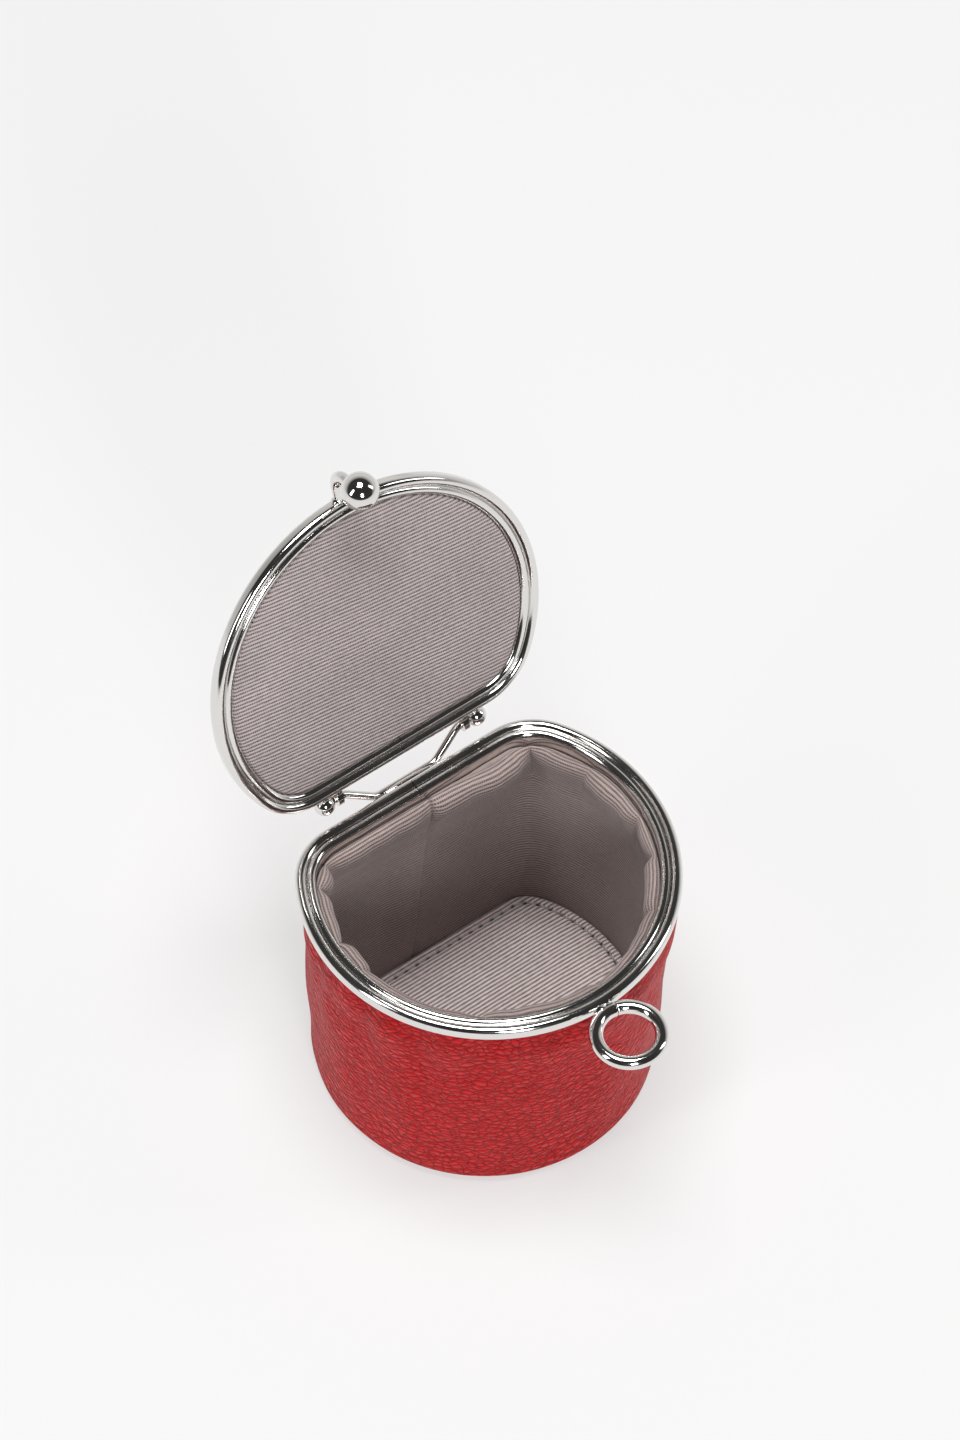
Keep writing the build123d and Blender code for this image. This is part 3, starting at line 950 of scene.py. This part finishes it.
def stitchPlaces():
    # evenly along the D at the stitch line, as spots and headings
    bm = bmesh.new()
    last = drawProfile(bm, [(pad["inset"] + pad["stitchIn"], 0)], 0, False)
    carryRound(bm, last, 0, 0.35)
    bmesh.ops.remove_doubles(bm, verts=bm.verts, dist=0.001)
    inset = pad["inset"] + pad["stitchIn"]
    spots = sorted((alongD(vert.co, inset)[0], vert.co.copy()) for vert in bm.verts)
    whole = alongD(spots[0][1], inset)[1]
    bm.free()
    count = round(whole / pad["stitchPitch"])
    places = []
    for i in range(count):
        spot = min(spots, key=lambda item: abs(item[0] - (i + 0.5) * whole / count))[1]
        way = inward(spot)
        places.append((spot, Vector((-way.y, way.x, 0))))
    return places


def basePad(stitches):
    bm = bmesh.new()
    last = drawProfile(bm, padProfile(), 0, False)
    carryRound(bm, last, 0, 0.5)
    bmesh.ops.remove_doubles(bm, verts=bm.verts, dist=0.001)
    rims = [edge for edge in bm.edges if edge.is_boundary]
    inner = [edge for edge in rims if edge.verts[0].co.z > pad["under"] + 0.5]
    outer = [edge for edge in rims if edge.verts[0].co.z < pad["under"] + 0.5]
    closeOver(bm, inner, 26)
    closeOver(bm, outer, 8)
    clothMap(bm, lambda spot: (spot.x, spot.y))
    needle = bm.verts.layers.float.new("needle")
    half = pad["stitchPitch"] / 2
    holes = [spot + way * half * 0.86 for spot, way in stitches]
    holes += [spot - way * half * 0.86 for spot, way in stitches]
    for vert in bm.verts:
        if vert.co.z < pad["under"] + 0.6:
            continue
        depth = insetOf(vert.co) - pad["inset"]
        broad = 1 - math.exp(-max(depth, 0) / 9)
        lift = pad["crown"] * broad + 0.14 * broad * noiseAt(vert.co, 12, 6.6)
        if depth > 1 and depth < 3.4:
            near = min((vert.co.xy - hole.xy).length for hole in holes)
            lift -= pad["pitDepth"] * math.exp(-(near / pad["pitRadius"]) ** 2)
            # near-black in each needle hole: painted shade
            vert[needle] = min(0.9, 1.1 * math.exp(-(near / 0.35) ** 4))
        vert.co.z += lift
    piece = finishPiece("basePad", bm, padClothPaintedLightAndShade, "body", ["lining_base"],
                        None, 60)


def padStitches(stitches):
    bm = bmesh.new()
    for spot, way in stitches:
        angle = math.atan2(way.y, way.x)
        level = pad["topLevel"] + pad["threadRise"]
        seat = Matrix.Translation((spot.x, spot.y, level)) @ Matrix.Rotation(angle, 4, "Z")
        made = bmesh.ops.create_uvsphere(bm, u_segments=8, v_segments=6, radius=1)
        bmesh.ops.scale(bm, verts=made["verts"], vec=(
            pad["stitchLength"] / 2, pad["threadRadius"], pad["threadRadius"]))
        bmesh.ops.transform(bm, matrix=seat, verts=made["verts"])
    finishPiece("padStitches", bm, threadFibre, "body", [], None, 60)


stitches = stitchPlaces()
basePad(stitches)
padStitches(stitches)
print("base pad sewn,", len(stitches), "stitches")

# lid: leather skin over foam outside, covered pad inside
lid = {
    "skinInset": 2.0,
    "skinLevel": -3.3,
    "skinEdge": 0.9,
    "skinCrown": 1.1,
    "padInset": 4.46,
    "padLevel": 0.85,
    "padCrown": 0.55,
    "ribTurn": 7.6,                 # ribs of the lid's lining, off the hinge line
}


def lidSkin():
    bm = bmesh.new()
    inset, level, edge = lid["skinInset"], lid["skinLevel"], lid["skinEdge"]
    points = [(inset, -0.2), (inset, -1.0), (inset, -1.7)]
    points += arc((inset + edge, level + edge), edge, 180, 270, 8)
    points += [(inset + edge + step, level) for step in (0.6, 1.3, 2.1, 3.0)]
    last = drawProfile(bm, points, 0, False)
    carryRound(bm, last, 0, 0.9)
    bmesh.ops.remove_doubles(bm, verts=bm.verts, dist=0.001)
    closeOver(bm, innerLoop(bm, 4.0), 34)

    def hide(spot):
        if spot.z > lid["skinLevel"] + lid["skinEdge"]:
            way = inward(spot)
            return spot.x - way.x * (spot.z + 2.4), spot.y - way.y * (spot.z + 2.4)
        return spot.x, spot.y

    clothMap(bm, hide)
    for vert in bm.verts:
        depth = insetOf(vert.co) - inset
        if vert.co.z < -2.0:
            broad = 1 - math.exp(-max(depth - 0.4, 0) / 7)
            vert.co.z -= broad * (lid["skinCrown"] + 0.22 * noiseAt(vert.co, 14, 2.9))
    piece = finishPiece("lidLeather", bm, redLeather, "lid", ["lid_leather"],
                        lidUp, 60)
    back = lidUp.to_3x3() @ Vector((0, 0, -1))
    face = max(piece.data.polygons, key=lambda item: abs(item.normal.dot(back)))
    if face.normal.dot(back) < 0:
        piece.data.flip_normals()
    addModifier(piece, "SOLIDIFY", thickness=wall["thick"] / mm, offset=-1)


def lidPad():
    bm = bmesh.new()
    inset, top = lid["padInset"], lid["padLevel"]
    points = [(inset + 1.4, -0.9), (inset + 0.1, -0.9), (inset, -0.6)]
    points += arc((inset + 0.6, top - 0.6), 0.6, 180, 90, 6)
    points += [(inset + 0.6 + 0.5 * i, top) for i in range(1, 9)]
    last = drawProfile(bm, points, 0, False)
    carryRound(bm, last, 0, 0.7)
    bmesh.ops.remove_doubles(bm, verts=bm.verts, dist=0.001)
    rims = [edge for edge in bm.edges if edge.is_boundary]
    closeOver(bm, [edge for edge in rims if edge.verts[0].co.z > 0], 40)
    closeOver(bm, [edge for edge in rims if edge.verts[0].co.z < 0], 8)
    lean = math.radians(lid["ribTurn"])

    def cloth(spot):
        return (spot.x * math.cos(lean) - spot.y * math.sin(lean),
                spot.x * math.sin(lean) + spot.y * math.cos(lean))

    clothMap(bm, cloth)
    for vert in bm.verts:
        if vert.co.z < -0.3:
            continue
        depth = max(insetOf(vert.co) - inset, 0)
        broad = 1 - math.exp(-depth / 6)
        rim = math.exp(-((depth - 1.4) / 1.6) ** 2)
        vert.co.z += (broad * lid["padCrown"] + 0.20 * broad * noiseAt(vert.co, 17, 1.9)
                      + 0.10 * rim * noiseAt(vert.co, 3.2, 4.1))
    piece = finishPiece("lidPad", bm, lidCloth, "lid", ["lid_lining"], lidUp,
                        60)


lidSkin()
lidPad()
print("lid covered")

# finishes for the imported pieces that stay
stay = {
    fibreBoard: ("wall_board", "base_board", "base_insert_board", "lid_board"),
    softFoam: ("lid_foam",),
    paperTwist: ("body_frame_cord", "lid_frame_cord"),
    nickelMetal: ("hinge_ear_left", "hinge_ear_right"),
}
for material, names in stay.items():
    for name in names:
        mesh = frame["nodes"][name].data
        mesh.materials.clear()
        mesh.materials.append(material)

# floor, light and camera
studio = {
    "floorTone": 0.32,
    "floorGlow": 0.56,
    "worldStrength": 1.0,
    "darkSide": (-0.34, -0.435, 0.834),
    "azimuth": -38.01,
    "elevation": 56.49,
    "distance": 2.1478,
    "lens": 260.8,
    "roll": 1.97,
    "tiltUp": 0.845,
    "panLeft": 0.047,
    # softboxes: place, size, power
    "lights": {
        "topLight": ((-0.05, 0.05, 1.6), (0.65, 0.65), 20),
        "frontLight": ((-0.7, -1.7, 1.1), (0.45, 0.7), 16),
        "leftLight": ((-1.5, 0.1, 0.9), (0.3, 1.0), 6),
        "rightLight": ((1.3, -0.7, 0.9), (0.3, 0.8), 4),
    },
    # the room's tone, from away from the dark side to straight at it
    "tones": ((0.0, 0.82), (0.40, 0.74), (0.50, 0.50), (0.57, 0.30), (0.63, 0.04), (0.95, 0.03)),
}


def studioFloor():
    bm = bmesh.new()
    bmesh.ops.create_grid(bm, x_segments=2, y_segments=2, size=6.0)
    mesh = bpy.data.meshes.new("floor")
    bm.to_mesh(mesh)
    bm.free()
    floor = bpy.data.objects.new("floor", mesh)
    bpy.context.scene.collection.objects.link(floor)
    finish = Finish("paleFloor")
    tone = studio["floorTone"]
    speck = finish.noise(places(finish), 3, 2)
    shade = finish.blend(finish.span(speck, 0.3, 0.7), (tone * 0.998, tone * 0.998, tone),
                         (tone, tone, tone))
    mesh.materials.append(finish.set(Base_Color=shade, Roughness=0.95, Specular_IOR_Level=0.0,
                                     Emission_Color=(1, 1, 1, 1),
                                     Emission_Strength=studio["floorGlow"]))


def studioWorld():
    # a pale sweep round the table and a dark studio on the front side, for the metal to mirror
    world = bpy.data.worlds.new("studio")
    bpy.context.scene.world = world
    world.use_nodes = True
    tree = world.node_tree
    coords = tree.nodes.new("ShaderNodeTexCoord")
    toward = tree.nodes.new("ShaderNodeVectorMath")
    toward.operation = "DOT_PRODUCT"
    toward.inputs[1].default_value = studio["darkSide"]
    ramp = tree.nodes.new("ShaderNodeValToRGB")
    tree.links.new(coords.outputs["Generated"], toward.inputs[0])
    share = tree.nodes.new("ShaderNodeMapRange")
    share.inputs[1].default_value = -1.0
    tree.links.new(toward.outputs["Value"], share.inputs[0])
    tree.links.new(share.outputs[0], ramp.inputs[0])
    marks = ramp.color_ramp.elements
    while len(marks) < len(studio["tones"]):
        marks.new(0.5)
    for mark, (at, tone) in zip(marks, studio["tones"]):
        mark.position = at
        mark.color = (tone, tone * 0.985, tone * 0.965, 1)
    background = tree.nodes["Background"]
    tree.links.new(ramp.outputs[0], background.inputs[0])
    background.inputs[1].default_value = studio["worldStrength"]


def softbox(name, at, size, power):
    light = bpy.data.lights.new(name, "AREA")
    light.shape = "RECTANGLE"
    light.size, light.size_y = size
    light.energy = power
    lamp = bpy.data.objects.new(name, light)
    bpy.context.scene.collection.objects.link(lamp)
    lamp.location = at
    lamp.rotation_euler = (Vector((0, 0, 0.05)) - Vector(at)).to_track_quat("-Z", "Y").to_euler()


def studioCamera():
    azimuth, elevation = math.radians(studio["azimuth"]), math.radians(studio["elevation"])
    back = Vector((math.sin(azimuth) * math.cos(elevation),
                   -math.cos(azimuth) * math.cos(elevation), math.sin(elevation)))
    right = Vector((math.cos(azimuth), math.sin(azimuth), 0))
    rise = back.cross(right)
    spin = Matrix.Rotation(math.radians(studio["roll"]), 3, back)
    aim = spin @ Matrix((right, rise, back)).transposed()
    aim = aim @ Matrix.Rotation(math.radians(studio["panLeft"]), 3, "Y")
    aim = aim @ Matrix.Rotation(math.radians(studio["tiltUp"]), 3, "X")
    lens = bpy.data.cameras.new("camera")
    lens.lens = studio["lens"]
    lens.sensor_width = 36
    lens.sensor_fit = "AUTO"
    lens.clip_start = 0.05
    camera = bpy.data.objects.new("camera", lens)
    bpy.context.scene.collection.objects.link(camera)
    at = up * (beadLevel / mm) + back * studio["distance"]
    camera.matrix_world = Matrix.Translation(at) @ aim.to_4x4()
    bpy.context.scene.camera = camera


studioFloor()
studioWorld()
for name, light in studio["lights"].items():
    softbox(name, *light)
studioCamera()
bpy.context.scene.view_settings.view_transform = "Standard"
print("stage set")
